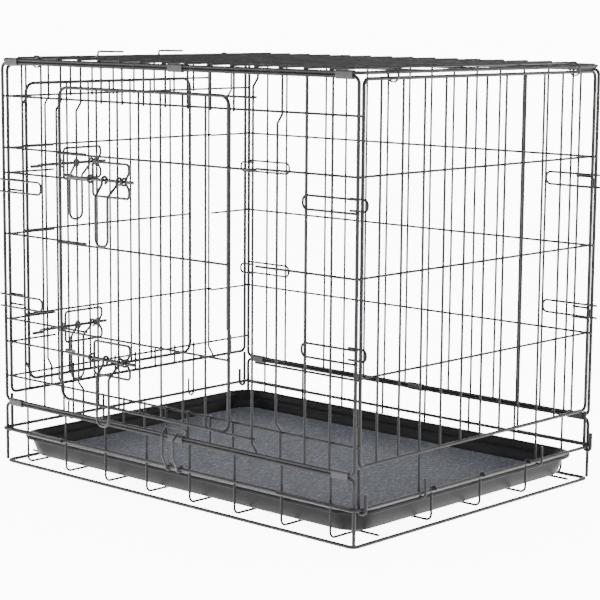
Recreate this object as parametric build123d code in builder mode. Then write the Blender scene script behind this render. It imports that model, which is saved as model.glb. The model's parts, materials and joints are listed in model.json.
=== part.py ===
"""Wire dog crate: a wire cage on a wire base, two outward doors, a pull-out tray and a mat.

Millimetres. X runs along the long side, with the front door on the -Y side and the end door on
the -X side. Z is up from the floor, and the origin is the middle of the base on the floor.
"""

import os
from math import cos, radians, sin

from build123d import *

os.makedirs("parts", exist_ok=True)

# Driving sizes
LENGTH = 640.0  # end wall to end wall, wire centres
WIDTH = 480.0  # front wall to back wall, wire centres
HEIGHT = 557.0  # floor to the top panel's frame, wire centre
FRAME = 4.4  # frame wire diameter
MESH = 3.0  # mesh wire diameter
PITCH = 40.0  # spacing of the upright wires
WELD = 0.05  # how far crossing wires sink into each other at a weld
CORNER = 8.0  # bend radius of the frames

# Base
MIDDLE_RAIL = 48.1
TOP_RAIL = 84.6
HOOK_GAP = 0.8  # between the end rails and the end walls' hooks
END_RAIL_LEG = 120.0
FLOOR_WIRES = 5
FLOOR_SPREAD = 0.9  # of the even spacing

# Tray and mat
TRAY_GAP = 0.5  # over the floor wires
TRAY_SIDE_GAP = 3.0
TRAY_END_GAP = 4.0
TRAY_HEIGHT = 29.0
TRAY_WALL = 2.4
TRAY_RIM = 5.0
TRAY_CORNER = 34.0
TRAY_DRAFT = 9.0
MAT_THICK = 5.0
MAT_GAP = 2.0
MAT_CORNER = 34.0

# Levels of the crossbars, below the top panel
UPPER_LEVEL = 49.0
DOOR_LEVELS = (119.0, 237.0, 355.0)  # on every wall, and on the doors
LOWER_LEVEL = 435.0
LATCH_BARS = (153.0, 387.0)
STRIP_PAST = 5.0  # strips of crossbar end this far past the doorway wires

# Doorway and door
DOG_LEG = 8.0  # the doorway wires step out by this much
DOORWAY_WIRE = 4 * PITCH  # the hinge wire, and the stop wire opposite
KEEPER_WIRE = 5 * PITCH  # the wire that a bolt goes behind
KINK = 10.0
HINGE_STEP_LOW = 2.0  # the hinge wire steps out this far above the wall's foot
HINGE_STEP_HIGH = 4.0  # and back this far below its top
DOOR_LATCH_EDGE = -194.0
DOOR_HINGE_EDGE = 120.0
DOOR_TOP = 33.0  # below the top panel
DOOR_BOTTOM = 447.0
DOOR_CORNER = 14.0
EYE_GAP = 0.5  # between a hinge eye and what it turns on
DOOR_EYE = (90.0, -35.0, -160.0)  # degrees round the hinge wire

# Latches
LATCH_LEVELS = (148.0, 382.0)
BOLT = 4.4
KEEPER = 3.4
KEEPER_LEFT = -124.0
KEEPER_RIGHT = -62.0
KEEPER_TALL = 44.0
KEEPER_WAIST = 7.0
KEEPER_BEND = 4.8
BOLT_TIP = -190.5
BOLT_TAIL = -42.0
BOLT_STEP = -166.0  # where the bolt steps in, just past the stop wire
BOLT_SLANT = 7.0
BOLT_GAP = 0.4
HANDLE = 3.6
HANDLE_LEFT = -96.0
HANDLE_TOP_WIDE = 28.0
HANDLE_WIDE = 23.0
HANDLE_OUT = 18.0
HANDLE_SHOULDER = 20.0
HANDLE_DROP = 83.0
HANDLE_NECK = 5.0
HANDLE_BEND = 9.7
HANDLE_EYE = (0.0, 140.0, 260.0)  # degrees round the bolt

# End walls
END_GAP = 1.0  # between the end walls' corner wires and the long walls' crossbars
END_TOP_DROP = 7.0  # the end walls hang this far below the top panel
END_BOTTOM = 98.0
HOOK_TIP = 19.0
HOOK_PLACES = 3 * PITCH
TAB_IN = 22.0
TAB_OUT = 5.0
TAB_TALL = 14.0
TAB_BEND = 5.9
RING = 1.8
RING_PLACES = (-180.0, 185.0)

# Corner hairpins of the long walls, below the top panel
HAIRPIN_LONG = 82.0
HAIRPIN_PAST = 5.5
HAIRPIN_TALL = 16.5
HAIRPIN_BEND = 6.9
LEFT_HAIRPINS = (170.0, 328.0)
RIGHT_HAIRPINS = (152.0, 327.0)

# Top panel, hinge sleeves, roof hooks and the front clip
TOP_OVERHANG = 3.0
SLEEVE_WALL = 0.9
SLEEVE_GAP = 0.15
SLEEVE_LONG = 26.0
SLEEVE_ROOM = 2.0  # at least this much between an end sleeve and the nearest upright
ROOF_HOOK = 3.0
ROOF_HOOK_TALL = 7.0
ROOF_HOOK_LONG = 48.0
ROOF_HOOK_DIP = 1.0
ROOF_HOOKS = (-68.0, 50.0)
CLIP = 3.2
CLIP_LEFT = 5.0
CLIP_LEGS = 20.0
CLIP_REACH = 15.0
CLIP_BULGE = 11.0
CLIP_GAP = 1.4
CLIP_BOW = 16.0
CLIP_BEND = 2.9
CLIP_LEFT_SHOULDER = 4.0
CLIP_RIGHT_SHOULDER = 8.0
CLIP_EYE = (0.0, -140.0, -260.0)  # degrees round the middle rail

# Worked out from the sizes above
HALF_L = LENGTH / 2
HALF_W = WIDTH / 2
BESIDE = (FRAME + MESH) / 2 - WELD  # mesh wire welded beside a frame wire
ACROSS = MESH - WELD  # mesh wire welded across a mesh wire
STACK = FRAME - WELD  # frame wire lying on a frame wire
BAR_N = -BESIDE  # crossbars lie inside the frame
UPRIGHT_N = BAR_N + ACROSS  # uprights lie outside the crossbars
WALL_BOTTOM = TOP_RAIL + STACK
WALL_TOP = HEIGHT - STACK
END_TOP = HEIGHT - END_TOP_DROP
END_HALF = HALF_W - BESIDE - (MESH + FRAME) / 2 - END_GAP
END_RAIL_OUT = FRAME + HOOK_GAP  # the end rails stand this far outside the end walls
HINGE_N = UPRIGHT_N + DOG_LEG
EYE_R = MESH + EYE_GAP
DOOR_BAR_N = HINGE_N + EYE_R
DOOR_FRAME_N = DOOR_BAR_N - BESIDE
DOOR_UPRIGHT_N = DOOR_BAR_N - ACROSS
KEEPER_N = DOOR_UPRIGHT_N + (MESH + KEEPER) / 2 - WELD
HANDLE_R = (BOLT + HANDLE) / 2 + EYE_GAP
BOLT_N = DOOR_UPRIGHT_N + (MESH + HANDLE) / 2 + HANDLE_R + BOLT_GAP
BOLT_IN_N = DOOR_FRAME_N - (FRAME + BOLT) / 2 - BOLT_GAP
CROSS_Z = FRAME / 2 + BESIDE
FLOOR_WIRE_Z = CROSS_Z + ACROSS
TRAY_Z = FLOOR_WIRE_Z + MESH / 2 + TRAY_GAP


# Places on each wall: along it, out from it, and up
def on_front(along, out, up):
    return (along, -(HALF_W + out), up)


def on_back(along, out, up):
    return (along, HALF_W + out, up)


def on_left(along, out, up):
    return (-(HALF_L + out), along, up)


def on_right(along, out, up):
    return (HALF_L + out, along, up)


# Wire stock
def run_along(edge, diameter):
    """One straight or one bend of wire as its own solid."""
    with BuildSketch(Plane(origin=edge @ 0, z_dir=edge % 0)) as section:
        Circle(diameter / 2)
    with BuildPart() as run:
        sweep(section.sketch, path=edge)
    return run.part.solid()


def straight(start, end, diameter):
    return run_along(Edge.make_line(start, end), diameter)


def bent(points, radius, diameter, close=False):
    """A bent wire: its straights and bends, end to end."""
    with BuildLine() as path:
        FilletPolyline(*points, radius=radius, close=close)
    return [run_along(edge, diameter) for edge in path.line.edges()]


def arc(start, middle, end, diameter):
    return run_along(Edge.make_three_point_arc(start, middle, end), diameter)


def eye(at, radius, turns, diameter):
    """An open eye of wire through three angles, in the plane that at() places."""
    points = [at(radius * cos(radians(turn)), radius * sin(radians(turn))) for turn in turns]
    return arc(*points, diameter)


def rectangle(place, left, right, low, high, out, radius, diameter):
    corners = [(left, low), (right, low), (right, high), (left, high)]
    points = [place(along, out, up) for along, up in corners]
    return bent(points, radius, diameter, close=True)


def columns(limit):
    """Upright places at the pitch, short of the limit on both sides."""
    count = int((limit - MESH) // PITCH)
    return [PITCH * step for step in range(-count, count + 1)]


def save(piece, name):
    piece.part.label = name
    export_step(piece.part, f"parts/{name}.step")


# Plain walls
def plain_uprights(place, half, low, high):
    ends = (low + FRAME / 2 - WELD, high - FRAME / 2 + WELD)
    return [
        straight(place(x, UPRIGHT_N, ends[0]), place(x, UPRIGHT_N, ends[1]), MESH)
        for x in columns(half)
    ]


def plain_bars(place, half):
    return [full_bar(place, half, HEIGHT - level) for level in DOOR_LEVELS]


def full_bar(place, half, up):
    reach = half + FRAME / 2
    return straight(place(-reach, BAR_N, up), place(reach, BAR_N, up), MESH)


# Walls with a doorway
def doorway_uprights(place, half, low, high):
    bottom = low + FRAME / 2 - WELD
    top = high - FRAME / 2 + WELD
    upper = HEIGHT - UPPER_LEVEL
    lower = HEIGHT - LOWER_LEVEL
    wires = []
    for x in columns(half):
        if abs(x) < DOORWAY_WIRE:
            stub_top = lower + MESH
            stub_bottom = upper - MESH
            wires.append(straight(place(x, UPRIGHT_N, bottom), place(x, UPRIGHT_N, stub_top), MESH))
            wires.append(straight(place(x, UPRIGHT_N, stub_bottom), place(x, UPRIGHT_N, top), MESH))
        elif abs(x) <= KEEPER_WIRE:
            hinge = x == DOORWAY_WIRE
            step_low = bottom + HINGE_STEP_LOW if hinge else lower + MESH
            step_high = top - HINGE_STEP_HIGH if hinge else upper - MESH
            points = [
                place(x, UPRIGHT_N, bottom),
                place(x, UPRIGHT_N, step_low),
                place(x, HINGE_N, step_low + KINK),
                place(x, HINGE_N, step_high - KINK),
                place(x, UPRIGHT_N, step_high),
                place(x, UPRIGHT_N, top),
            ]
            wires += bent(points, MESH, MESH)
        else:
            wires.append(straight(place(x, UPRIGHT_N, bottom), place(x, UPRIGHT_N, top), MESH))
    return wires


def doorway_bars(place, half):
    bars = [full_bar(place, half, HEIGHT - UPPER_LEVEL), full_bar(place, half, HEIGHT - LOWER_LEVEL)]
    reach = half + FRAME / 2
    inner = DOORWAY_WIRE - STRIP_PAST
    for level in DOOR_LEVELS:
        up = HEIGHT - level
        bars.append(straight(place(-reach, BAR_N, up), place(-inner, BAR_N, up), MESH))
        bars.append(straight(place(inner, BAR_N, up), place(reach, BAR_N, up), MESH))
    for level in LATCH_BARS:
        up = HEIGHT - level
        bars.append(straight(place(-reach, BAR_N, up), place(-inner, BAR_N, up), MESH))
    return bars


# Doors
def door_frame(place):
    low = HEIGHT - DOOR_BOTTOM
    high = HEIGHT - DOOR_TOP
    edges = (DOOR_LATCH_EDGE, DOOR_HINGE_EDGE)
    return rectangle(place, *edges, low, high, DOOR_FRAME_N, DOOR_CORNER, FRAME)


def door_uprights(place):
    low = HEIGHT - DOOR_BOTTOM + FRAME / 2 - WELD
    high = HEIGHT - DOOR_TOP - FRAME / 2 + WELD
    return [
        straight(place(x, DOOR_UPRIGHT_N, low), place(x, DOOR_UPRIGHT_N, high), MESH)
        for x in columns(DOOR_HINGE_EDGE) + [-3 * PITCH]
    ]


def eyed_bar(place, start, up):
    """A bar that ends in an eye round the hinge wire."""
    pivot = DOORWAY_WIRE
    bar = straight(place(start, DOOR_BAR_N, up), place(pivot, DOOR_BAR_N, up), MESH)
    ring = eye(lambda x, out: place(pivot + x, HINGE_N + out, up), EYE_R, DOOR_EYE, MESH)
    return [bar, ring]


def door_bars(place, eye_levels):
    reach = FRAME / 2
    start = DOOR_LATCH_EDGE - reach
    bars = []
    for level in DOOR_LEVELS:
        up = HEIGHT - level
        if level in eye_levels:
            bars += eyed_bar(place, start, up)
        else:
            end = DOOR_HINGE_EDGE + reach
            bars.append(straight(place(start, DOOR_BAR_N, up), place(end, DOOR_BAR_N, up), MESH))
    arm_start = DOOR_HINGE_EDGE - PITCH / 2
    bars += eyed_bar(place, arm_start, HEIGHT - DOOR_TOP)
    if len(eye_levels) == 1:
        bars += eyed_bar(place, arm_start, HEIGHT - DOOR_BOTTOM)
    return bars


# Latches
def keeper(place, level):
    """A loop with a waist on its tail side, and two staples that hold the bolt."""
    z = HEIGHT - level
    half = KEEPER_TALL / 2
    outline = [
        (KEEPER_LEFT, z - half),
        (KEEPER_RIGHT + KEEPER_WAIST, z - half),
        (KEEPER_RIGHT + KEEPER_WAIST, z - half / 2),
        (KEEPER_RIGHT, z),
        (KEEPER_RIGHT + KEEPER_WAIST, z + half / 2),
        (KEEPER_RIGHT + KEEPER_WAIST, z + half),
        (KEEPER_LEFT, z + half),
    ]
    points = [place(x, KEEPER_N, up) for x, up in outline]
    wires = bent(points, KEEPER_BEND, KEEPER, close=True)
    radius = (BOLT + KEEPER) / 2 + BOLT_GAP
    foot = KEEPER_N + KEEPER / 2 - WELD
    waist = KEEPER_RIGHT + KEEPER_WAIST * radius / (half / 2)
    for x in (KEEPER_LEFT, waist):
        high = place(x, BOLT_N, z + radius)
        low = place(x, BOLT_N, z - radius)
        wires.append(arc(high, place(x, BOLT_N + radius, z), low, KEEPER))
        wires.append(straight(high, place(x, foot, z + radius), KEEPER))
        wires.append(straight(low, place(x, foot, z - radius), KEEPER))
    return wires


def bolt(place, level):
    """A rod that steps in past the stop wire, so that its tip can go behind the keeper wire."""
    z = HEIGHT - level
    points = [
        place(BOLT_TAIL, BOLT_N, z),
        place(BOLT_STEP, BOLT_N, z),
        place(BOLT_STEP - BOLT_SLANT, BOLT_IN_N, z),
        place(BOLT_TIP, BOLT_IN_N, z),
    ]
    return bent(points, BOLT, BOLT)


def handle(place, level):
    """A bail that hangs from two eyes round the bolt."""
    z = HEIGHT - level
    inset = (HANDLE_TOP_WIDE - HANDLE_WIDE) / 2
    left = HANDLE_LEFT
    right = HANDLE_LEFT + HANDLE_TOP_WIDE
    top = BOLT_N + HANDLE_R
    out = BOLT_N + HANDLE_OUT
    points = [
        place(left, top, z),
        place(left, top, z - HANDLE_NECK),
        place(left + inset, out, z - HANDLE_SHOULDER),
        place(left + inset, out, z - HANDLE_DROP),
        place(right - inset, out, z - HANDLE_DROP),
        place(right - inset, out, z - HANDLE_SHOULDER),
        place(right, top, z - HANDLE_NECK),
        place(right, top, z),
    ]
    radii = [HANDLE, HANDLE * 2, HANDLE_BEND, HANDLE_BEND, HANDLE * 2, HANDLE]
    wires = bent(points, radii, HANDLE)
    for x in (left, right):
        ring = eye(lambda out, up: place(x, BOLT_N + out, z + up), HANDLE_R, HANDLE_EYE, HANDLE)
        wires.append(ring)
    return wires


# End walls
def end_hooks(place):
    """Hooks that pass inside the base's end rail, under it, and rise outside it."""
    wires = []
    radius = END_RAIL_OUT
    for along, gauge in [(END_HALF, FRAME), (HOOK_PLACES, MESH)]:
        for side in (-along, along):
            start = place(side, 0, END_BOTTOM - FRAME / 2 + WELD)
            inner = place(side, 0, MIDDLE_RAIL)
            outer = place(side, 2 * radius, MIDDLE_RAIL)
            under = place(side, radius, MIDDLE_RAIL - radius)
            tip = place(side, 2 * radius, MIDDLE_RAIL + HOOK_TIP)
            wires.append(straight(start, inner, gauge))
            wires.append(arc(inner, under, outer, gauge))
            wires.append(straight(outer, tip, gauge))
    return wires


def end_tabs(place, levels):
    wires = []
    for side in (-1, 1):
        along = side * (END_HALF - BESIDE)
        for level in levels:
            low = HEIGHT - level - TAB_TALL / 2
            high = low + TAB_TALL
            points = [
                place(along, -TAB_IN, low),
                place(along, TAB_OUT, low),
                place(along, TAB_OUT, high),
                place(along, -TAB_IN, high),
            ]
            wires += bent(points, TAB_BEND, MESH)
    return wires


def hairpins(place):
    wires = []
    for side, levels in [(-1, LEFT_HAIRPINS), (1, RIGHT_HAIRPINS)]:
        inner = side * (HALF_L - HAIRPIN_LONG)
        outer = side * (HALF_L + HAIRPIN_PAST)
        for level in levels:
            low = HEIGHT - level - HAIRPIN_TALL / 2
            high = low + HAIRPIN_TALL
            points = [
                place(outer, BESIDE, low),
                place(inner, BESIDE, low),
                place(inner, BESIDE, high),
                place(outer, BESIDE, high),
            ]
            wires += bent(points, HAIRPIN_BEND, MESH)
    return wires


# Base
pieces = []
outline = [(-HALF_L, -HALF_W), (HALF_L, -HALF_W), (HALF_L, HALF_W), (-HALF_L, HALF_W)]
pieces += bent([(x, y, FRAME / 2) for x, y in outline], CORNER, FRAME, close=True)
with BuildPart() as base_bottom_frame:
    add(pieces, clean=False, mode=Mode.REPLACE)
save(base_bottom_frame, "base_bottom_frame")

pieces = []
for side in (on_front, on_back):
    foot = FRAME - WELD
    hoop = [(-HALF_L, foot), (-HALF_L, TOP_RAIL), (HALF_L, TOP_RAIL), (HALF_L, foot)]
    pieces += bent([side(x, 0, up) for x, up in hoop], CORNER, FRAME)
    reach = HALF_L - FRAME / 2 + WELD
    pieces.append(straight(side(-reach, 0, MIDDLE_RAIL), side(reach, 0, MIDDLE_RAIL), FRAME))
with BuildPart() as base_side_rails:
    add(pieces, clean=False, mode=Mode.REPLACE)
save(base_side_rails, "base_side_rails")

pieces = []
for side in (-1, 1):
    end = side * (HALF_L + END_RAIL_OUT)
    leg = side * (HALF_L - END_RAIL_LEG)
    route = [(leg, -HALF_W - STACK), (end, -HALF_W - STACK), (end, HALF_W + STACK), (leg, HALF_W + STACK)]
    pieces += bent([(x, y, MIDDLE_RAIL) for x, y in route], CORNER, FRAME)
with BuildPart() as base_end_rails:
    add(pieces, clean=False, mode=Mode.REPLACE)
save(base_end_rails, "base_end_rails")

pieces = []
cross_y = HALF_W - BESIDE
cross_count = int((HALF_L - PITCH) // (2 * PITCH))
for step in range(-cross_count - 1, cross_count + 1):
    x = (2 * step + 1) * PITCH
    route = [(-cross_y, TOP_RAIL), (-cross_y, CROSS_Z), (cross_y, CROSS_Z), (cross_y, TOP_RAIL)]
    pieces += bent([(x, y, up) for y, up in route], CORNER, MESH)
with BuildPart() as base_cross_wires:
    add(pieces, clean=False, mode=Mode.REPLACE)
save(base_cross_wires, "base_cross_wires")

pieces = []
floor_spacing = (2 * cross_y - PITCH) / (FLOOR_WIRES - 1) * FLOOR_SPREAD
for step in range(FLOOR_WIRES):
    y = (step - (FLOOR_WIRES - 1) / 2) * floor_spacing
    outer_wire = step in (0, FLOOR_WIRES - 1)
    if outer_wire:
        pieces.append(straight((-HALF_L, y, FLOOR_WIRE_Z), (HALF_L, y, FLOOR_WIRE_Z), MESH))
        continue
    rise = HALF_L + END_RAIL_OUT - BESIDE
    curl = BESIDE
    route = [(-HALF_L, FLOOR_WIRE_Z), (rise, FLOOR_WIRE_Z), (rise, MIDDLE_RAIL)]
    pieces += bent([(x, y, up) for x, up in route], CORNER, MESH)
    over = (rise + curl, y, MIDDLE_RAIL + curl)
    pieces.append(arc((rise, y, MIDDLE_RAIL), over, (rise + 2 * curl, y, MIDDLE_RAIL), MESH))
with BuildPart() as base_long_wires:
    add(pieces, clean=False, mode=Mode.REPLACE)
save(base_long_wires, "base_long_wires")

# Tray: a drafted pan with a rolled-out rim
tray_half_x = HALF_L - TRAY_END_GAP
tray_half_y = cross_y - MESH / 2 - TRAY_SIDE_GAP
tray_top = TRAY_Z + TRAY_HEIGHT
with BuildPart() as tray:
    for inset, low in [(0.0, TRAY_Z), (TRAY_WALL, TRAY_Z + TRAY_WALL)]:
        with BuildSketch(Plane.XY.offset(low)):
            foot_x = tray_half_x - TRAY_RIM - TRAY_DRAFT - inset
            foot_y = tray_half_y - TRAY_RIM - TRAY_DRAFT - inset
            RectangleRounded(2 * foot_x, 2 * foot_y, TRAY_CORNER - inset)
        with BuildSketch(Plane.XY.offset(tray_top)):
            rim_x = tray_half_x - TRAY_RIM - inset
            rim_y = tray_half_y - TRAY_RIM - inset
            RectangleRounded(2 * rim_x, 2 * rim_y, TRAY_CORNER - inset)
        loft(mode=Mode.SUBTRACT if inset else Mode.ADD)
    with BuildSketch(Plane.XY.offset(tray_top - TRAY_WALL)):
        RectangleRounded(2 * tray_half_x, 2 * tray_half_y, TRAY_CORNER + TRAY_RIM)
        inner_x = tray_half_x - TRAY_RIM - TRAY_WALL
        inner_y = tray_half_y - TRAY_RIM - TRAY_WALL
        RectangleRounded(2 * inner_x, 2 * inner_y, TRAY_CORNER - TRAY_WALL, mode=Mode.SUBTRACT)
    extrude(amount=TRAY_WALL)
save(tray, "tray")

with BuildPart() as mat:
    mat_x = tray_half_x - TRAY_RIM - TRAY_DRAFT - TRAY_WALL - MAT_GAP
    mat_y = tray_half_y - TRAY_RIM - TRAY_DRAFT - TRAY_WALL - MAT_GAP
    with BuildSketch(Plane.XY.offset(TRAY_Z + TRAY_WALL)):
        RectangleRounded(2 * mat_x, 2 * mat_y, MAT_CORNER)
    extrude(amount=MAT_THICK)
save(mat, "mat")

# Front wall
pieces = rectangle(on_front, -HALF_L, HALF_L, WALL_BOTTOM, WALL_TOP, 0, CORNER, FRAME)
with BuildPart() as front_wall_frame:
    add(pieces, clean=False, mode=Mode.REPLACE)
save(front_wall_frame, "front_wall_frame")

pieces = doorway_uprights(on_front, HALF_L, WALL_BOTTOM, WALL_TOP)
with BuildPart() as front_wall_uprights:
    add(pieces, clean=False, mode=Mode.REPLACE)
save(front_wall_uprights, "front_wall_uprights")

pieces = doorway_bars(on_front, HALF_L)
with BuildPart() as front_wall_crossbars:
    add(pieces, clean=False, mode=Mode.REPLACE)
save(front_wall_crossbars, "front_wall_crossbars")

pieces = hairpins(on_front)
with BuildPart() as front_wall_hairpins:
    add(pieces, clean=False, mode=Mode.REPLACE)
save(front_wall_hairpins, "front_wall_hairpins")

# Back wall
pieces = rectangle(on_back, -HALF_L, HALF_L, WALL_BOTTOM, WALL_TOP, 0, CORNER, FRAME)
with BuildPart() as back_wall_frame:
    add(pieces, clean=False, mode=Mode.REPLACE)
save(back_wall_frame, "back_wall_frame")

pieces = plain_uprights(on_back, HALF_L, WALL_BOTTOM, WALL_TOP)
with BuildPart() as back_wall_uprights:
    add(pieces, clean=False, mode=Mode.REPLACE)
save(back_wall_uprights, "back_wall_uprights")

pieces = plain_bars(on_back, HALF_L)
with BuildPart() as back_wall_crossbars:
    add(pieces, clean=False, mode=Mode.REPLACE)
save(back_wall_crossbars, "back_wall_crossbars")

pieces = hairpins(on_back)
with BuildPart() as back_wall_hairpins:
    add(pieces, clean=False, mode=Mode.REPLACE)
save(back_wall_hairpins, "back_wall_hairpins")

# Top panel
pieces = bent([(x, y, HEIGHT) for x, y in outline], CORNER, FRAME, close=True)
with BuildPart() as top_frame:
    add(pieces, clean=False, mode=Mode.REPLACE)
save(top_frame, "top_frame")

top_wire_z = HEIGHT + BESIDE
top_reach = HALF_W + FRAME / 2 + TOP_OVERHANG
pieces = [
    straight((x, -top_reach, top_wire_z), (x, top_reach, top_wire_z), MESH)
    for x in columns(HALF_L)
]
with BuildPart() as top_cross_wires:
    add(pieces, clean=False, mode=Mode.REPLACE)
save(top_cross_wires, "top_cross_wires")

top_long_z = top_wire_z - ACROSS
top_end = HALF_L - FRAME / 2 + WELD
pieces = [
    straight((-top_end, y, top_long_z), (top_end, y, top_long_z), MESH)
    for y in (-HALF_W / 2, 0, HALF_W / 2)
]
with BuildPart() as top_long_wires:
    add(pieces, clean=False, mode=Mode.REPLACE)
save(top_long_wires, "top_long_wires")

pieces = []
for y in ROOF_HOOKS:
    foot = HEIGHT + FRAME / 2 - WELD
    crest = foot + ROOF_HOOK_TALL
    route = [(y, foot), (y, crest), (y + ROOF_HOOK_LONG, crest - ROOF_HOOK_DIP)]
    pieces += bent([(-HALF_L, across, up) for across, up in route], ROOF_HOOK, ROOF_HOOK)
with BuildPart() as roof_hooks:
    add(pieces, clean=False, mode=Mode.REPLACE)
save(roof_hooks, "roof_hooks")

# Hinge sleeves round pairs of rails, and rings that hang the end walls
last_upright = columns(HALF_L)[-1]
end_bay = HALF_L - CORNER - last_upright - MESH / 2
if end_bay > SLEEVE_LONG + SLEEVE_ROOM:
    end_sleeve = HALF_L - CORNER - SLEEVE_LONG / 2
else:
    end_sleeve = last_upright - PITCH / 2
middle_sleeve = PITCH / 2
sleeve_places = [
    (side, z, x)
    for side in (-1, 1)
    for z in (TOP_RAIL + STACK / 2, HEIGHT - STACK / 2)
    for x in (-end_sleeve, middle_sleeve, end_sleeve)
]
with BuildSketch(Plane.YZ) as sleeve_section:
    hole = FRAME + 2 * SLEEVE_GAP
    SlotCenterToCenter(STACK, hole + 2 * SLEEVE_WALL, rotation=90)
    SlotCenterToCenter(STACK, hole, rotation=90, mode=Mode.SUBTRACT)
with BuildPart() as sleeve:
    extrude(sleeve_section.sketch, amount=SLEEVE_LONG / 2, both=True)
pieces = [sleeve.part.solid().moved(Location((x, side * HALF_W, z))) for side, z, x in sleeve_places]
with BuildPart() as hinge_sleeves:
    add(pieces, clean=False, mode=Mode.REPLACE)
save(hinge_sleeves, "hinge_sleeves")

ring_radius = END_TOP_DROP / 2 + FRAME / 2 + EYE_GAP + RING
pieces = []
for x in (-HALF_L, HALF_L):
    for y in RING_PLACES:
        for turn in (-1, 1):
            centre = (x, y + turn * (RING / 2 + WELD), HEIGHT - END_TOP_DROP / 2)
            with BuildPart(Plane(origin=centre, z_dir=(0, 1, 0))) as ring:
                Torus(ring_radius, RING / 2)
            pieces.append(ring.part.solid())
with BuildPart() as hog_rings:
    add(pieces, clean=False, mode=Mode.REPLACE)
save(hog_rings, "hog_rings")

# End walls
for name, place, tabs in [
    ("left", on_left, LEFT_HAIRPINS),
    ("right", on_right, RIGHT_HAIRPINS),
]:
    pieces = rectangle(place, -END_HALF, END_HALF, END_BOTTOM, END_TOP, 0, CORNER, FRAME)
    with BuildPart() as end_wall_frame:
        add(pieces, clean=False, mode=Mode.REPLACE)
    save(end_wall_frame, f"{name}_wall_frame")

    doorway = name == "left"
    span = (END_HALF, END_BOTTOM, END_TOP)
    pieces = doorway_uprights(place, *span) if doorway else plain_uprights(place, *span)
    with BuildPart() as end_wall_uprights:
        add(pieces, clean=False, mode=Mode.REPLACE)
    save(end_wall_uprights, f"{name}_wall_uprights")

    pieces = doorway_bars(place, END_HALF) if doorway else plain_bars(place, END_HALF)
    with BuildPart() as end_wall_crossbars:
        add(pieces, clean=False, mode=Mode.REPLACE)
    save(end_wall_crossbars, f"{name}_wall_crossbars")

    pieces = end_hooks(place)
    with BuildPart() as end_wall_hooks:
        add(pieces, clean=False, mode=Mode.REPLACE)
    save(end_wall_hooks, f"{name}_wall_hooks")

    pieces = end_tabs(place, tabs)
    with BuildPart() as end_wall_tabs:
        add(pieces, clean=False, mode=Mode.REPLACE)
    save(end_wall_tabs, f"{name}_wall_tabs")

# Doors, with two latches each
for name, place, eye_levels in [
    ("front", on_front, DOOR_LEVELS[:1]),
    ("end", on_left, DOOR_LEVELS[::2]),
]:
    pieces = door_frame(place)
    with BuildPart() as door_frame_piece:
        add(pieces, clean=False, mode=Mode.REPLACE)
    save(door_frame_piece, f"{name}_door_frame")

    pieces = door_uprights(place)
    with BuildPart() as door_uprights_piece:
        add(pieces, clean=False, mode=Mode.REPLACE)
    save(door_uprights_piece, f"{name}_door_uprights")

    pieces = door_bars(place, eye_levels)
    with BuildPart() as door_crossbars:
        add(pieces, clean=False, mode=Mode.REPLACE)
    save(door_crossbars, f"{name}_door_crossbars")

    for height, level in zip(("upper", "lower"), LATCH_LEVELS):
        pieces = keeper(place, level)
        with BuildPart() as latch_keeper:
            add(pieces, clean=False, mode=Mode.REPLACE)
        save(latch_keeper, f"{name}_{height}_keeper")

        pieces = bolt(place, level)
        with BuildPart() as latch_bolt:
            add(pieces, clean=False, mode=Mode.REPLACE)
        save(latch_bolt, f"{name}_{height}_bolt")

        pieces = handle(place, level)
        with BuildPart() as latch_handle:
            add(pieces, clean=False, mode=Mode.REPLACE)
        save(latch_handle, f"{name}_{height}_handle")

# Clip on the base's middle rail, which hooks over the front wall's bottom rail
clip_r = (FRAME + CLIP) / 2 + EYE_GAP
clip_low = WALL_BOTTOM + (FRAME + CLIP) / 2 + CLIP_GAP
clip_high = clip_low + 2 * CLIP
clip_in = MESH / 2 + UPRIGHT_N + CLIP / 2 + EYE_GAP
clip_right = CLIP_LEFT + CLIP_LEGS
route = [
    (CLIP_LEFT, clip_r, MIDDLE_RAIL),
    (CLIP_LEFT, CLIP_BULGE, MIDDLE_RAIL + CLIP_BOW),
    (CLIP_LEFT, CLIP_BULGE, clip_low - CLIP_LEFT_SHOULDER),
    (CLIP_LEFT, clip_in, clip_high),
    (clip_right + CLIP_REACH, clip_in, clip_high),
    (clip_right + CLIP_REACH, clip_in, clip_low),
    (clip_right, clip_in, clip_low),
    (clip_right, CLIP_BULGE, clip_low - CLIP_RIGHT_SHOULDER),
    (clip_right, CLIP_BULGE, MIDDLE_RAIL + CLIP_BOW),
    (clip_right, clip_r, MIDDLE_RAIL),
]
pieces = bent([on_front(*point) for point in route], CLIP_BEND, CLIP)
for x in (CLIP_LEFT, clip_right):
    ring = eye(lambda out, up: on_front(x, out, MIDDLE_RAIL + up), clip_r, CLIP_EYE, CLIP)
    pieces.append(ring)
with BuildPart() as front_clip:
    add(pieces, clean=False, mode=Mode.REPLACE)
save(front_clip, "front_clip")
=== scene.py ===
"""The look of the wire dog crate: powder-coated wire, moulded tray, felt mat, studio light."""

import json
import math

import bmesh
import bpy
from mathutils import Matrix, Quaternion, Vector, noise


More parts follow.
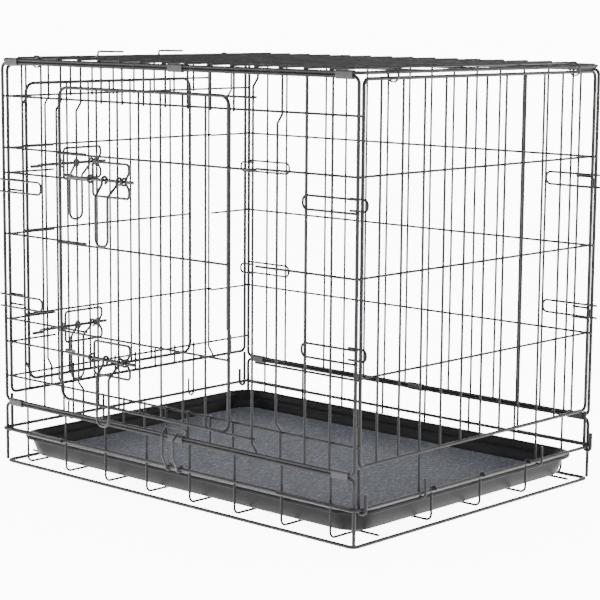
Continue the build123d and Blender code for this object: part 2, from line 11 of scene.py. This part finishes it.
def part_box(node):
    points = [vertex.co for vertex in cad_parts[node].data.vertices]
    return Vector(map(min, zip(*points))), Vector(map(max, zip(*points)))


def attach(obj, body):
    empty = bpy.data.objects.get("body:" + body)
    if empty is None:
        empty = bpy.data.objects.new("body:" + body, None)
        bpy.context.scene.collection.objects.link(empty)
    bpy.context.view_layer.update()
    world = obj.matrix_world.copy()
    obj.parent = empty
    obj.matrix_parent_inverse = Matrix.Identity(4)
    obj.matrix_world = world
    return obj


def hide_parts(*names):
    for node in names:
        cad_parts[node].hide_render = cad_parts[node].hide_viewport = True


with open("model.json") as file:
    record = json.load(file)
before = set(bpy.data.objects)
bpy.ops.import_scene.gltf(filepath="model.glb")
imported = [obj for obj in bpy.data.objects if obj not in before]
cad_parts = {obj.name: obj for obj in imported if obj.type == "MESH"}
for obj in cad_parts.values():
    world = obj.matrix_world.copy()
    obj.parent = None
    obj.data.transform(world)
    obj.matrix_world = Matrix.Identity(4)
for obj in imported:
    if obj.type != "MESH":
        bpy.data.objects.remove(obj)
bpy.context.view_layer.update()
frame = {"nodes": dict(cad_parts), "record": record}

MM = 0.001

# Camera and floor
CAMERA_PLACE = (1.7597, -1.9003, 0.6293)
CAMERA_YAW = -0.744
CAMERA_PITCH = -0.1503
CAMERA_ROLL = 0.0078
CAMERA_LENS = 115.74
PAPER_GLOW = 9.0
COVE_SIDES = 96
COVE_PROFILE = [  # radius and height, metres
    (1.5, 0.0), (6.0, 0.0), (7.2, 0.15), (8.2, 0.6), (9.0, 1.3), (9.5, 2.2), (9.7, 3.4)
]
WORLD_GLOW = 0.7
LIT_MIDDLE = (0, 0, 0.25)

# Tray and mat, in millimetres. The mat's inset is from the tray's outer edge
RIM_CORNER = 39.0
MAT_INSET = 20.5
MAT_CORNER = 30.0
MAT_EDGE = 4.0  # how far in the mat's soft edge reaches
MAT_LIFT = 0.1  # off the tray's floor
MAT_SETTLE = 1.2  # thinner than the plain slab, to leave room for the wave
MAT_WAVE = 0.5

MAT_RINGS = [  # how far in from the mat's edge each ring lies
    0.0, 0.3, 0.8, 1.6, 2.6, 4.0, 6.0, 9.0, 14.0, 22.0, 34.0, 50.0, 70.0, 92.0, 116.0, 140.0, 165.0, 190.0
]


# Meshes
def new_mesh(name, verts, faces):
    data = bpy.data.meshes.new(name)
    data.from_pydata(verts, [], faces)
    data.update()
    obj = bpy.data.objects.new(name, data)
    bpy.context.scene.collection.objects.link(obj)
    tidy = bmesh.new()
    tidy.from_mesh(data)
    bmesh.ops.recalc_face_normals(tidy, faces=tidy.faces)
    tidy.to_mesh(data)
    tidy.free()
    for face in data.polygons:
        face.use_smooth = True
    return obj


def rounded_ring(half_x, half_y, corner, z, turns=10, along=40, across=28):
    """A rounded rectangle of evenly numbered points, so that rings can be joined."""
    ring = []
    sides = [(1, 1, 0), (-1, 1, 1), (-1, -1, 2), (1, -1, 3)]
    for sx, sy, quarter in sides:
        cx = sx * (half_x - corner)
        cy = sy * (half_y - corner)
        for step in range(turns + 1):
            angle = math.pi / 2 * (quarter + step / turns)
            ring.append(Vector((cx + corner * math.cos(angle), cy + corner * math.sin(angle), z)))
        count = along if quarter in (0, 2) else across
        start = ring[-1].copy()
        flip = (-1, 1) if quarter in (0, 2) else (1, -1)
        end = Vector((start.x * flip[0], start.y * flip[1], z))
        ring += [start.lerp(end, step / count) for step in range(1, count)]
    return ring


def joined_rings(name, rings):
    """Quads between rings, with a cap at each end."""
    count = len(rings[0])
    verts = [point for ring in rings for point in ring]
    faces = []
    for row in range(len(rings) - 1):
        low = row * count
        high = low + count
        for i in range(count):
            j = (i + 1) % count
            faces.append((low + i, low + j, high + j, high + i))
    faces.append(tuple(range(count)))
    faces.append(tuple(range(len(verts) - count, len(verts))))
    return new_mesh(name, verts, faces)


# Material helpers
class Nodes:
    """Adds and joins shader nodes in one tree."""

    def __init__(self, tree):
        self.tree = tree
        tree.nodes.clear()

    def add(self, kind, label=None, **settings):
        node = self.tree.nodes.new(kind)
        if label:
            node.label = label
        for key, value in settings.items():
            setattr(node, key, value)
        return node

    def join(self, source, target):
        self.tree.links.new(source, target)

    def noise(self, vector, scale, detail=4.0, rough=0.55):
        node = self.add("ShaderNodeTexNoise")
        self.join(vector, node.inputs["Vector"])
        set_or_join(self, node.inputs["Scale"], scale)
        node.inputs["Detail"].default_value = detail
        node.inputs["Roughness"].default_value = rough
        return node.outputs["Fac"]

    def math(self, operation, a, b=0.0, clamp=False):
        node = self.add("ShaderNodeMath", operation=operation, use_clamp=clamp)
        set_or_join(self, node.inputs[0], a)
        set_or_join(self, node.inputs[1], b)
        return node.outputs[0]

    def span(self, value, low, high, to_low=0.0, to_high=1.0):
        node = self.add("ShaderNodeMapRange", clamp=True)
        self.join(value, node.inputs["Value"])
        ends = {"From Min": low, "From Max": high, "To Min": to_low, "To Max": to_high}
        for socket, number in ends.items():
            set_or_join(self, node.inputs[socket], number)
        return node.outputs["Result"]

    def mix(self, factor, a, b):
        node = self.add("ShaderNodeMix", data_type="RGBA")
        set_or_join(self, node.inputs["Factor"], factor)
        set_or_join(self, node.inputs["A"], a, color=True)
        set_or_join(self, node.inputs["B"], b, color=True)
        return node.outputs["Result"]

    def stretched(self, vector, scale):
        node = self.add("ShaderNodeMapping")
        self.join(vector, node.inputs["Vector"])
        node.inputs["Scale"].default_value = scale
        return node.outputs["Vector"]


def set_or_join(nodes, socket, value, color=False):
    if isinstance(value, bpy.types.NodeSocket):
        nodes.join(value, socket)
    elif color:
        socket.default_value = (*value, 1.0)
    else:
        socket.default_value = value


def shader_group(name, inputs, outputs):
    """A node group with named inputs and outputs, and the nodes to fill it."""
    tree = bpy.data.node_groups.new(name, "ShaderNodeTree")
    nodes = Nodes(tree)
    for label, kind, value in inputs:
        socket = tree.interface.new_socket(name=label, in_out="INPUT", socket_type=kind)
        if value is not None:
            socket.default_value = value
    for label, kind in outputs:
        tree.interface.new_socket(name=label, in_out="OUTPUT", socket_type=kind)
    return nodes, nodes.add("NodeGroupInput"), nodes.add("NodeGroupOutput")


FLOAT = "NodeSocketFloat"
COLOR = "NodeSocketColor"
VECTOR = "NodeSocketVector"


def make_coat_group():
    """Powder coat: slight tone drift, fine orange peel, rubbed bright spots and settled dust."""
    inputs = [
        ("Vector", VECTOR, None),
        ("Coat", COLOR, (0.0025, 0.0025, 0.0028, 1)),
        ("Rubbed", COLOR, (0.045, 0.045, 0.046, 1)),
        ("Dust", COLOR, (0.07, 0.068, 0.066, 1)),
        ("Rub Amount", FLOAT, 0.3),
        ("Dust Amount", FLOAT, 0.3),
        ("Peel Scale", FLOAT, 1800.0),
    ]
    outputs = [("Color", COLOR), ("Roughness", FLOAT), ("Height", FLOAT)]
    nodes, given, out = shader_group("powder_coat", inputs, outputs)
    place = given.outputs["Vector"]
    tone = nodes.noise(place, 14.0, 3.0)
    drifted = nodes.mix(nodes.span(tone, 0.35, 0.7, 0.0, 0.35), given.outputs["Coat"], (0.006, 0.006, 0.0065))
    rub_noise = nodes.noise(place, 160.0, 5.0, 0.65)
    rub_patch = nodes.noise(place, 22.0, 2.0)
    rub_mask = nodes.math("MULTIPLY", nodes.span(rub_noise, 0.56, 0.7), nodes.span(rub_patch, 0.5, 0.66))
    rub = nodes.math("MULTIPLY", rub_mask, given.outputs["Rub Amount"])
    worn = nodes.mix(rub, drifted, given.outputs["Rubbed"])
    geometry = nodes.add("ShaderNodeNewGeometry")
    split = nodes.add("ShaderNodeSeparateXYZ")
    nodes.join(geometry.outputs["Normal"], split.inputs[0])
    facing_up = nodes.span(split.outputs["Z"], 0.55, 1.0)
    dust_noise = nodes.span(nodes.noise(place, 420.0, 6.0, 0.7), 0.42, 0.66)
    dust = nodes.math("MULTIPLY", nodes.math("MULTIPLY", facing_up, dust_noise), given.outputs["Dust Amount"])
    nodes.join(nodes.mix(dust, worn, given.outputs["Dust"]), out.inputs["Color"])
    peel = nodes.noise(place, given.outputs["Peel Scale"], 2.0, 0.4)
    rough = nodes.span(peel, 0.3, 0.7, 0.42, 0.56)
    dusty = nodes.math("ADD", rough, nodes.math("MULTIPLY", dust, 0.35))
    nodes.join(nodes.math("SUBTRACT", dusty, nodes.math("MULTIPLY", rub, 0.1), True), out.inputs["Roughness"])
    nodes.join(peel, out.inputs["Height"])
    return nodes.tree


def make_grain_group():
    """Moulded plastic: pebble grain, faint flow streaks and fine scuffs."""
    inputs = [
        ("Vector", VECTOR, None),
        ("Plastic", COLOR, (0.0018, 0.0018, 0.002, 1)),
        ("Scuffed", COLOR, (0.016, 0.016, 0.0165, 1)),
        ("Grain Scale", FLOAT, 900.0),
        ("Scuff Amount", FLOAT, 0.5),
    ]
    outputs = [("Color", COLOR), ("Roughness", FLOAT), ("Height", FLOAT)]
    nodes, given, out = shader_group("pebble_grain", inputs, outputs)
    place = given.outputs["Vector"]
    pebble = nodes.add("ShaderNodeTexVoronoi", feature="SMOOTH_F1")
    nodes.join(place, pebble.inputs["Vector"])
    nodes.join(given.outputs["Grain Scale"], pebble.inputs["Scale"])
    grain = pebble.outputs["Distance"]
    streaks = nodes.noise(nodes.stretched(place, (6.0, 90.0, 60.0)), 3.0, 5.0, 0.6)
    flecks = nodes.noise(nodes.stretched(place, (40.0, 40.0, 40.0)), 9.0, 6.0, 0.75)
    scuff_mask = nodes.math("MULTIPLY", nodes.span(streaks, 0.52, 0.7), nodes.span(flecks, 0.5, 0.62))
    scuff = nodes.math("MULTIPLY", scuff_mask, given.outputs["Scuff Amount"])
    paler = nodes.span(streaks, 0.3, 0.75, 0.0, 0.3)
    tone = nodes.mix(paler, given.outputs["Plastic"], (0.0045, 0.0045, 0.005))
    nodes.join(nodes.mix(scuff, tone, given.outputs["Scuffed"]), out.inputs["Color"])
    rough = nodes.span(grain, 0.0, 0.7, 0.36, 0.52)
    nodes.join(nodes.math("ADD", rough, nodes.math("MULTIPLY", scuff, 0.2), True), out.inputs["Roughness"])
    nodes.join(grain, out.inputs["Height"])
    return nodes.tree


def make_heather_group():
    """Felted heather: fibres of three tones lying every way, a fine nap and a soft pile drift."""
    inputs = [
        ("Vector", VECTOR, None),
        ("Deep", COLOR, (0.0022, 0.0026, 0.0042, 1)),
        ("Body", COLOR, (0.0115, 0.0143, 0.0235, 1)),
        ("Light", COLOR, (0.072, 0.082, 0.118, 1)),
        ("Fibre Scale", FLOAT, 130.0),
    ]
    outputs = [("Color", COLOR), ("Roughness", FLOAT), ("Height", FLOAT)]
    nodes, given, out = shader_group("heather_felt", inputs, outputs)
    place = given.outputs["Vector"]
    fibre = given.outputs["Fibre Scale"]
    along = nodes.noise(nodes.stretched(place, (1.0, 6.0, 3.0)), fibre, 4.0, 0.6)
    across = nodes.noise(nodes.stretched(place, (6.0, 1.0, 3.0)), fibre, 4.0, 0.6)
    speck = nodes.noise(place, nodes.math("MULTIPLY", fibre, 2.2), 3.0, 0.7)
    dark = nodes.mix(nodes.span(along, 0.44, 0.56), given.outputs["Deep"], given.outputs["Body"])
    light = nodes.math("MULTIPLY", nodes.span(across, 0.5, 0.6), nodes.span(speck, 0.4, 0.62))
    mixed = nodes.mix(light, dark, given.outputs["Light"])
    drift = nodes.span(nodes.noise(place, 9.0, 3.0), 0.3, 0.7, 0.0, 0.22)
    nodes.join(nodes.mix(drift, mixed, given.outputs["Deep"]), out.inputs["Color"])
    nap = nodes.math("ADD", nodes.math("ADD", along, across), speck)
    nodes.join(nodes.span(nap, 1.2, 1.8, 0.86, 0.98), out.inputs["Roughness"])
    nodes.join(nodes.math("MULTIPLY", nap, 0.33), out.inputs["Height"])
    return nodes.tree


COAT = make_coat_group()
GRAIN = make_grain_group()
HEATHER = make_heather_group()


def finish_material(name, group, values, bump_depth, bump_strength, **shader_values):
    """One material: an effect group feeding a Principled shader, with the plain numbers on it."""
    material = bpy.data.materials.new(name)
    material.use_nodes = True
    nodes = Nodes(material.node_tree)
    where = nodes.add("ShaderNodeTexCoord")
    effect = nodes.add("ShaderNodeGroup", label=name, node_tree=group)
    nodes.join(where.outputs["Object"], effect.inputs["Vector"])
    for key, value in values.items():
        effect.inputs[key].default_value = (*value, 1.0) if isinstance(value, tuple) else value
    bump = nodes.add("ShaderNodeBump")
    bump.inputs["Strength"].default_value = bump_strength
    bump.inputs["Distance"].default_value = bump_depth
    nodes.join(effect.outputs["Height"], bump.inputs["Height"])
    shader = nodes.add("ShaderNodeBsdfPrincipled")
    nodes.join(effect.outputs["Color"], shader.inputs["Base Color"])
    nodes.join(effect.outputs["Roughness"], shader.inputs["Roughness"])
    nodes.join(bump.outputs["Normal"], shader.inputs["Normal"])
    for key, value in shader_values.items():
        shader.inputs[key.replace("_", " ")].default_value = value
    out = nodes.add("ShaderNodeOutputMaterial")
    nodes.join(shader.outputs["BSDF"], out.inputs["Surface"])
    return material


frame_wire = finish_material(
    "frame_wire_coat",
    COAT,
    {"Rub Amount": 0.35, "Dust Amount": 0.22},
    0.05 * MM,
    0.35,
    Specular_IOR_Level=0.08,
)
mesh_wire = finish_material(
    "mesh_wire_coat", COAT, {"Rub Amount": 0.2, "Dust Amount": 0.2}, 0.04 * MM, 0.3, Specular_IOR_Level=0.07
)
latch_wire = finish_material(
    "latch_wire_coat",
    COAT,
    {"Rub Amount": 0.7, "Dust Amount": 0.12, "Rubbed": (0.09, 0.09, 0.093)},
    0.05 * MM,
    0.35,
    Specular_IOR_Level=0.12,
    Coat_Weight=0.03,
)
sleeve_metal = finish_material(
    "sleeve_coat",
    COAT,
    {"Coat": (0.01, 0.01, 0.0105), "Rub Amount": 0.5},
    0.06 * MM,
    0.4,
    Specular_IOR_Level=0.1,
    Coat_Weight=0.03,
)
tray_plastic = finish_material("tray_plastic", GRAIN, {}, 0.12 * MM, 0.5, Specular_IOR_Level=0.04, IOR=1.49)
mat_felt = finish_material(
    "mat_felt", HEATHER, {}, 0.6 * MM, 0.9, Sheen_Weight=0.03, Sheen_Roughness=0.6, Specular_IOR_Level=0.1
)
SLOT_FINISH = {
    "frame_wire": frame_wire,
    "mesh_wire": mesh_wire,
    "latch_wire": latch_wire,
    "sleeve_metal": sleeve_metal,
    "tray_plastic": tray_plastic,
    "mat_fabric": mat_felt,
}
for subpart in frame["record"]["subparts"]:
    node = frame["nodes"][subpart["node"]]
    node.data.materials.clear()
    node.data.materials.append(SLOT_FINISH[subpart["material_slot"]])


# Tray: a thin moulded pan with a rolled rim, a stepped wall and a softly dished floor edge
def make_tray():
    low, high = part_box("tray")
    half_x = high[0]
    half_y = high[1]
    foot = low[2]
    top = high[2]
    tall = (top - foot) / MM
    # in from the outer edge, up from the foot
    profile = [
        (60, 0), (20, 0), (17.5, 0.3), (15.5, 1.2), (14, 3), (9.5, tall * 0.55), (7.6, tall - 6),
        (7.0, tall - 3.4), (5.8, tall - 2.6), (2.4, tall - 2.8), (1.4, tall - 3.4), (0.9, tall - 4.4),
        (0.25, tall - 4.5), (0, tall - 3.8), (0, tall - 1.6), (0.4, tall - 0.6), (1.3, tall - 0.05),
        (2.4, tall), (5.2, tall), (6.6, tall - 0.3), (7.8, tall - 1.2), (8.6, tall - 3),
        (10.2, tall - 9), (10.8, tall - 9.8), (12.4, tall - 10.2), (13.0, tall - 11),
        (14.6, tall * 0.3 + 2.4), (16.0, 5.2), (17.6, 3.4), (19.6, 2.6), (22, 2.4), (60, 2.4),
    ]
    rings = []
    for inset, up in profile:
        corner = max(RIM_CORNER - inset * 0.55, 12.0) * MM
        rings.append(rounded_ring(half_x - inset * MM, half_y - inset * MM, corner, foot + up * MM))
    return joined_rings("moulded_tray", rings)


tray = make_tray()
tray.data.materials.append(tray_plastic)
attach(tray, "tray")
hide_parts("tray")


# Mat: a felted pad with a soft edge, lying a little unevenly on the tray floor
def make_mat():
    low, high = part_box("mat")
    tray_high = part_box("tray")[1]
    half_x = tray_high[0] - MAT_INSET * MM
    half_y = tray_high[1] - MAT_INSET * MM
    base = low[2] + MAT_LIFT * MM
    thick = high[2] - low[2] - MAT_SETTLE * MM
    rings = [rounded_ring(half_x - 30 * MM, half_y - 30 * MM, 12 * MM, base)]
    rings.append(rounded_ring(half_x - 1.2 * MM, half_y - 1.2 * MM, MAT_CORNER * MM, base))
    for inset in MAT_RINGS:
        corner = max(MAT_CORNER - inset * 0.6, 6.0) * MM
        swell = math.sqrt(1 - (1 - min(inset / MAT_EDGE, 1)) ** 2)
        up = base + thick * (0.35 + 0.65 * swell)
        ring = rounded_ring(half_x - inset * MM, half_y - inset * MM, corner, up)
        for point in ring:
            wave = noise.noise(Vector((point.x * 9, point.y * 9, 3.1)))
            ripple = noise.noise(Vector((point.x * 38, point.y * 38, 7.7)))
            point.z += swell * MAT_WAVE * MM * (wave + 0.5 * ripple)
        rings.append(ring)
    return joined_rings("felt_mat", rings)


mat = make_mat()
mat.data.materials.append(mat_felt)
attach(mat, "tray")
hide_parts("mat")


# Floor, light and camera
def studio_floor():
    """A round floor that sweeps up into a wall, so that no horizon shows."""
    turns = [2 * math.pi * step / COVE_SIDES for step in range(COVE_SIDES)]
    verts = [(r * math.cos(t), r * math.sin(t), z) for r, z in COVE_PROFILE for t in turns]
    faces = [tuple(range(COVE_SIDES))]
    for row in range(len(COVE_PROFILE) - 1):
        low = row * COVE_SIDES
        for i in range(COVE_SIDES):
            j = (i + 1) % COVE_SIDES
            faces.append((low + i, low + j, low + COVE_SIDES + j, low + COVE_SIDES + i))
    floor = new_mesh("studio_floor", verts, faces)
    material = bpy.data.materials.new("studio_paper")
    material.use_nodes = True
    shader = material.node_tree.nodes["Principled BSDF"]
    shader.inputs["Base Color"].default_value = (0.9, 0.9, 0.9, 1)
    shader.inputs["Roughness"].default_value = 0.9
    shader.inputs["Specular IOR Level"].default_value = 0.1
    shader.inputs["Emission Color"].default_value = (1, 1, 1, 1)
    shader.inputs["Emission Strength"].default_value = PAPER_GLOW
    floor.data.materials.append(material)


def area_light(name, place, target, size, power):
    light = bpy.data.lights.new(name, "AREA")
    light.shape = "DISK"
    light.size = size
    light.energy = power
    obj = bpy.data.objects.new(name, light)
    obj.location = place
    obj.rotation_euler = (Vector(target) - Vector(place)).to_track_quat("-Z", "Y").to_euler()
    bpy.context.scene.collection.objects.link(obj)


def studio_light():
    world = bpy.data.worlds.new("studio_white")
    world.use_nodes = True
    background = world.node_tree.nodes["Background"]
    background.inputs["Color"].default_value = (1, 1, 1, 1)
    background.inputs["Strength"].default_value = WORLD_GLOW
    bpy.context.scene.world = world
    area_light("overhead_softbox", (0.3, -0.2, 3.2), LIT_MIDDLE, 3.0, 90)
    area_light("front_softbox", (0.6, -3.2, 1.6), LIT_MIDDLE, 1.8, 45)
    area_light("side_softbox", (3.2, 0.4, 1.2), LIT_MIDDLE, 1.6, 30)


def studio_camera():
    data = bpy.data.cameras.new("studio_camera")
    data.lens = CAMERA_LENS
    data.sensor_width = 36.0
    camera = bpy.data.objects.new("studio_camera", data)
    level = math.cos(CAMERA_PITCH)
    ahead = Vector((math.sin(CAMERA_YAW) * level, math.cos(CAMERA_YAW) * level, math.sin(CAMERA_PITCH)))
    aim = ahead.to_track_quat("-Z", "Y")
    camera.location = CAMERA_PLACE
    camera.rotation_euler = (aim @ Quaternion((0, 0, 1), CAMERA_ROLL)).to_euler()
    bpy.context.scene.collection.objects.link(camera)
    bpy.context.scene.camera = camera


studio_floor()
studio_light()
studio_camera()
